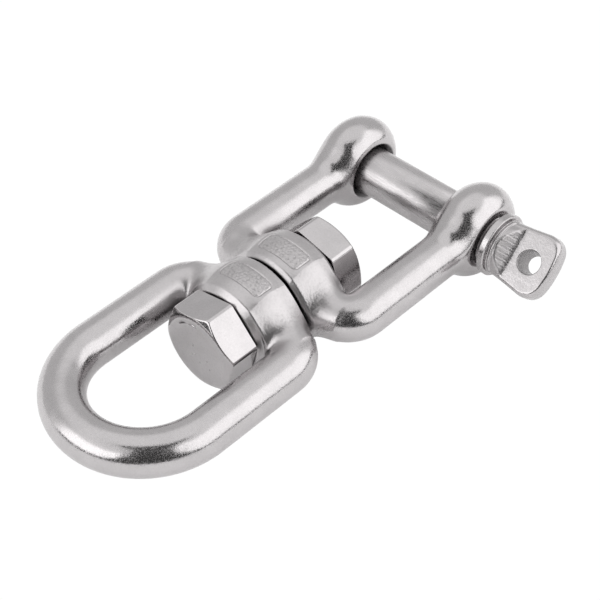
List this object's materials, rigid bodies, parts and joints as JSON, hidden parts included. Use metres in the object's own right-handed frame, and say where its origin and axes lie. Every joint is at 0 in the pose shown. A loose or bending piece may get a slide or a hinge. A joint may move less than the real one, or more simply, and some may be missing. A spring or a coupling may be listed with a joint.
{
  "type": "anchor swivel",
  "caption": "Jaw-and-eye stainless steel swivel: a round-bar eye turns on a bolt against a forked jaw closed by a screw clevis pin.",
  "frame": {"origin": "centre of the bounding box of the whole swivel, on the level of the swivel axis and the clevis pin's axis", "axes": "+X along the swivel axis from the eye towards the jaw; +Y along the clevis pin from its tab towards its threaded tip; +Z out of the plane of the loop, on the side of the sunk label panels"},
  "size_m": [0.082, 0.0458, 0.0158],
  "materials": {
    "cast_steel": "satin polished stainless casting with a faint cast grain",
    "hexagon_steel": "smooth polished stainless",
    "pin_steel": "polished stainless shank, forged satin tab"
  },
  "bodies": {
    "eye": {"eye_body": "cast_steel"},
    "jaw": {"jaw_body": "cast_steel"},
    "bolt": {"swivel_bolt": "hexagon_steel", "swivel_nut": "hexagon_steel"},
    "pin": {"clevis_pin": "pin_steel"}
  },
  "joints": [
    {"name": "jaw_swivel", "type": "hinge", "parent": "eye", "child": "jaw", "pos_m": [0, 0.00613, 0], "axis": [1, 0, 0], "continuous": true},
    {"name": "bolt_spin", "type": "hinge", "parent": "eye", "child": "bolt", "pos_m": [0, 0.00613, 0], "axis": [1, 0, 0], "continuous": true},
    {"name": "pin_draw", "type": "slide", "parent": "jaw", "child": "pin", "axis": [0, -1, 0], "range_m": [-0.0004, 0.036]}
  ]
}
